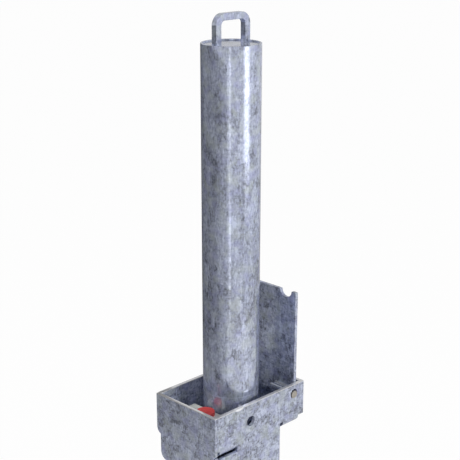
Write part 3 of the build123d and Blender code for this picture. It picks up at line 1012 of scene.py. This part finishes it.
@dataclass
class PostSet:
    """Lift-out post: tube, end plates and the lifting handle.

    Attributes:
        wall: Thickness of the tube, in metres.
        edge, edge_steps: Rounding of the tube's ends, in metres and in steps.
        steps: Facets round the tube.
        slot_floor, slot_roof: Heights between which the cam's slot lies, in metres.
        margin: How far from the slot the wall is divided, in metres.
        sweep: Reach of the cam round the lock's axis, in metres.
        cutter_sides: Facets round the shape that cuts the slot.
    """

    wall: float = 0.004
    edge: float = 0.0010
    edge_steps: int = 3
    steps: int = 144
    slot_floor: float = 0.2795
    slot_roof: float = 0.2905
    margin: float = 0.004
    sweep: float = 0.0397
    cutter_sides: int = 96

    def build(self, bench: Bench) -> None:
        """Builds the tube and dresses its plates and handle.

        Args:
            bench: Makes and dresses the pieces.
        """
        self.build_tube(bench)
        for node in ("post_foot_plate", "post_top_cap"):
            bench.dress_node(node, Slot.TUBE)
        bench.dress_node("lift_handle", Slot.BAR)

    def build_tube(self, bench: Bench) -> None:
        """Turns the tube with rounded ends and cuts the cam's slot through its wall.

        Args:
            bench: Makes and dresses the pieces.
        """
        low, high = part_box("post_tube")
        outer = high.x
        inner = outer - self.wall
        mesh = bmesh.new()
        corners = [(inner, low.z), (outer, low.z), (outer, high.z), (inner, high.z)]
        mesh.faces.new([mesh.verts.new((x, 0.0, z)) for x, z in corners])
        bmesh.ops.bevel(mesh, geom=mesh.verts[:], offset=self.edge, offset_type="OFFSET",
                        affect="VERTICES", segments=self.edge_steps, profile=0.5, material=-1)
        for height in (self.slot_floor - self.margin, self.slot_roof + self.margin):
            bmesh.ops.bisect_plane(mesh, geom=[*mesh.verts, *mesh.edges, *mesh.faces],
                                   plane_co=(0.0, 0.0, height), plane_no=UP)
        rim = [edge for edge in mesh.edges if len(edge.link_faces) == 1]
        bmesh.ops.delete(mesh, geom=mesh.faces[:], context="FACES_ONLY")
        inside = [edge for edge in mesh.edges if edge not in rim]
        bmesh.ops.delete(mesh, geom=inside, context="EDGES")
        bmesh.ops.spin(mesh, geom=[*mesh.verts, *rim], cent=ORIGIN, axis=UP,
                       angle=math.tau, steps=self.steps, use_merge=True)
        bmesh.ops.recalc_face_normals(mesh, faces=mesh.faces)
        made = bench.piece("post_pipe", mesh, Slot.TUBE, Body.POST, ("post_tube",))
        self.cut_slot(made)

    def cut_slot(self, tube: bpy.types.Object) -> None:
        """Cuts the room that the cam's sweep needs.

        Args:
            tube: The tube, which is changed.
        """
        low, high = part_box("lock_plug")
        axis = (low + high) / 2
        middle = (self.slot_floor + self.slot_roof) / 2
        cutter_mesh = bmesh.new()
        bmesh.ops.create_cone(cutter_mesh, cap_ends=True, segments=self.cutter_sides,
                              radius1=self.sweep, radius2=self.sweep,
                              depth=self.slot_roof - self.slot_floor,
                              matrix=Matrix.Translation((axis.x, axis.y, middle)))
        cutter = object_from("slot_cutter", cutter_mesh)
        cut = tube.modifiers.new("cam_slot", "BOOLEAN")
        cut.operation = "DIFFERENCE"
        cut.solver = "EXACT"
        cut.object = cutter
        evaluated = tube.evaluated_get(bpy.context.evaluated_depsgraph_get())
        slotted = bpy.data.meshes.new_from_object(evaluated)
        tube.modifiers.clear()
        tube.data = slotted
        bpy.data.objects.remove(cutter)


# Studio


@dataclass(frozen=True)
class Softbox:
    """Square lamp that lights the object and shows in no reflection.

    Attributes:
        name: The lamp's name.
        place, target: Where it hangs and what it points at, in metres.
        side, power, colour: Its width in metres, its watts and its light's colour.
    """

    name: str
    place: Point
    target: Point
    side: float
    power: float
    colour: Colour = (1.0, 0.99, 0.98)

    def hang(self) -> None:
        """Adds the lamp to the scene."""
        data = bpy.data.lights.new(self.name, "AREA")
        data.shape = "RECTANGLE"
        data.size = data.size_y = self.side
        data.energy = self.power
        data.color = self.colour
        light = bpy.data.objects.new(self.name, data)
        light.location = self.place
        aim = Vector(self.target) - Vector(self.place)
        light.rotation_euler = aim.to_track_quat("-Z", "Y").to_euler()
        light.visible_glossy = False
        bpy.context.scene.collection.objects.link(light)
        LOG.info("lamp %s", self.name)


SOFTBOXES = (
    Softbox("key_softbox", (0.52, -2.95, 1.35), (0.0, 0.0, 0.5), 0.4, 43.0),
    Softbox("fill_softbox", (-1.87, -2.15, 1.4), (0.0, 0.0, 0.5), 0.3, 9.0),
    Softbox("back_softbox", (-1.9, 1.9, 1.5), (0.0, 0.0, 0.4), 0.4, 16.0),
    Softbox("top_softbox", (-1.1, -1.25, 2.9), (0.0, 0.0, 0.5), 0.7, 24.0, (1.0, 0.97, 0.94)),
)
SIDE_CLOTH = StudioGlow("side_glow_cloth", azimuth=-74.5, half_width=0.62, soft=0.8,
                        foot=0.42, top=1.10, dim=0.55, bright=3.1)
FRONT_CLOTH = StudioGlow("front_glow_cloth", azimuth=-139.5, half_width=0.20, soft=0.5,
                         foot=-0.3, top=0.1, dim=0.60, bright=1.35)
# So wide that it doesn't fade sideways anywhere round the room.
ROOM_CLOTH = StudioGlow("room_cloth", azimuth=0.0, half_width=9.0,
                        foot=0.1, top=0.8, dim=0.54, bright=0.80)


@dataclass
class Studio:
    """Camera, lamps, floor and what the metal reflects.

    Lengths are in metres, angles in degrees, and the lens and its sensor in millimetres.

    Attributes:
        camera_pitch: How far the camera looks down.
        camera_heading: How far its view is turned from +X to +Y.
        camera_reach: How far the camera sees.
        photo_side, axis_pixel: The photograph's width and its view axis, in pixels.
        card_from, card_to: Azimuths between which the grey card stands.
        glow_radius: How far off the two softbox cloths stand.
        side_height, front_height: How high those stand.
        sky_mirrored: Strength of the ceiling in reflections.
    """

    camera_place: Point = (-1.46001, -1.45578, 1.36268)
    camera_pitch: float = 20.438
    camera_heading: float = 45.04
    lens: float = 86.31
    sensor: float = 36.0
    camera_reach: float = 200.0
    photo_side: float = 460.0
    axis_pixel: tuple[float, float] = (228.77, 297.87)
    floor_side: float = 60.0
    card_radius: float = 0.60
    card_height: float = 1.13
    card_from: float = -150.0
    card_to: float = -300.0
    glow_radius: float = 2.0
    side_height: float = 1.7
    front_height: float = 1.9
    room_radius: float = 3.0
    room_height: float = 1.3
    wall_steps: int = 40
    sky: Colour = (0.94, 0.97, 1.0)
    sky_strength: float = 0.07
    sky_mirrored: float = 0.704

    def build(self) -> None:
        """Sets up everything that isn't part of the object."""
        bpy.context.scene.view_settings.view_transform = "Standard"
        self.build_camera()
        self.build_floor()
        self.build_card()
        self.build_glow("side_glow", self.side_height, SIDE_CLOTH)
        self.build_glow("front_glow", self.front_height, FRONT_CLOTH)
        self.build_room()
        self.build_world()
        for softbox in SOFTBOXES:
            softbox.hang()

    def build_camera(self) -> None:
        """Places the camera where the photograph was taken from."""
        data = bpy.data.cameras.new("photo_camera")
        data.lens = self.lens
        data.sensor_width = self.sensor
        half = self.photo_side / 2
        data.shift_x = (half - self.axis_pixel[0]) / self.photo_side
        data.shift_y = (self.axis_pixel[1] - half) / self.photo_side
        data.clip_end = self.camera_reach
        camera = bpy.data.objects.new("photo_camera", data)
        camera.location = self.camera_place
        camera.rotation_euler = (math.radians(90.0 - self.camera_pitch), 0.0,
                                 math.radians(self.camera_heading - 90.0))
        bpy.context.scene.collection.objects.link(camera)
        bpy.context.scene.camera = camera

    def build_floor(self) -> None:
        """Lays the pale floor that the socket's base stands on."""
        mesh = bmesh.new()
        bmesh.ops.create_grid(mesh, x_segments=1, y_segments=1, size=self.floor_side / 2)
        self.stage_piece("floor", mesh, StudioFloor().material())

    def build_card(self) -> None:
        """Stands the curved grey card to the left of the camera's line."""
        wall = self.wall(self.card_radius, self.card_from, self.card_to, self.card_height)
        self.reflected_only(self.stage_piece("card", wall, StudioCard().material()))

    def build_glow(self, name: str, height: float, cloth: StudioGlow) -> None:
        """Stands a curved softbox round the object, for the metal to reflect.

        Args:
            name: The softbox's name.
            height: How high it stands, in metres.
            cloth: Its cloth.
        """
        reach = math.degrees(cloth.half_width / self.glow_radius)
        wall = self.wall(self.glow_radius, cloth.azimuth - reach, cloth.azimuth + reach, height)
        self.reflected_only(self.stage_piece(name, wall, cloth.material()))

    def build_room(self) -> None:
        """Stands the white walls of the room round the stage, for the metal to reflect."""
        wall = self.wall(self.room_radius, 0.0, 360.0, self.room_height)
        self.reflected_only(self.stage_piece("room_wall", wall, ROOM_CLOTH.material()))

    def wall(self, radius: float, start: float, end: float, height: float) -> bmesh.types.BMesh:
        """Models an upright curved wall round the post's axis.

        Args:
            radius: How far off it stands, in metres.
            start: Azimuth where it starts, in degrees.
            end: Azimuth where it ends, in degrees.
            height: How high it stands, in metres.

        Returns:
            The wall as a bmesh in place.
        """
        mesh = bmesh.new()
        turn = math.radians(start)
        foot = mesh.verts.new((radius * math.cos(turn), radius * math.sin(turn), 0.0))
        top = mesh.verts.new((foot.co.x, foot.co.y, height))
        edge = mesh.edges.new((foot, top))
        bmesh.ops.spin(mesh, geom=[foot, top, edge], cent=ORIGIN, axis=UP,
                       angle=math.radians(end - start), steps=self.wall_steps)
        return mesh

    @staticmethod
    def reflected_only(wall: bpy.types.Object) -> None:
        """Lets a wall show in reflections alone.

        Args:
            wall: The wall, which is changed.
        """
        wall.visible_camera = False
        wall.visible_diffuse = False
        wall.visible_shadow = False

    @staticmethod
    def stage_piece(name: str, mesh: bmesh.types.BMesh,
                    material: bpy.types.Material) -> bpy.types.Object:
        """Turns a bmesh into a part of the stage.

        Args:
            name: Its name.
            mesh: Its shape in place, which is freed.
            material: Its material.

        Returns:
            The new object.
        """
        made = object_from(name, mesh)
        made.data.materials.append(material)
        LOG.info("stage %s", name)
        return made

    def build_world(self) -> None:
        """Fills the room with even light, and shows white wherever nothing stands."""
        world = bpy.data.worlds.new("studio_room")
        world.use_nodes = True
        bpy.context.scene.world = world
        graph = ShaderGraph(world.node_tree)
        sky, ceiling, backdrop = (
            graph.out(graph.node("ShaderNodeBackground", None,
                                 {"Color": opaque(colour), "Strength": strength}))
            for colour, strength in ((self.sky, self.sky_strength), (WHITE, self.sky_mirrored),
                                     (WHITE, 1.0)))
        path = graph.node("ShaderNodeLightPath")
        seen = graph.clamped(graph.out(path, "Is Camera Ray")
                             + graph.out(path, "Is Transmission Ray"))
        room = graph.mixed(graph.out(path, "Is Glossy Ray"), sky, ceiling)
        graph.node("ShaderNodeOutputWorld", None, {"Surface": graph.mixed(seen, room, backdrop)})


def main() -> None:
    """Builds the studio and every sub-assembly."""
    logging.basicConfig(level=logging.INFO, format="%(name)s: %(message)s")
    Studio().build()
    bench = Bench()
    for assembly in (HeadBox(), GroundSocket(), LockSet(), LidSet(), PostSet()):
        LOG.info("building %s", type(assembly).__name__)
        assembly.build(bench)


if __name__ == "__main__":
    main()
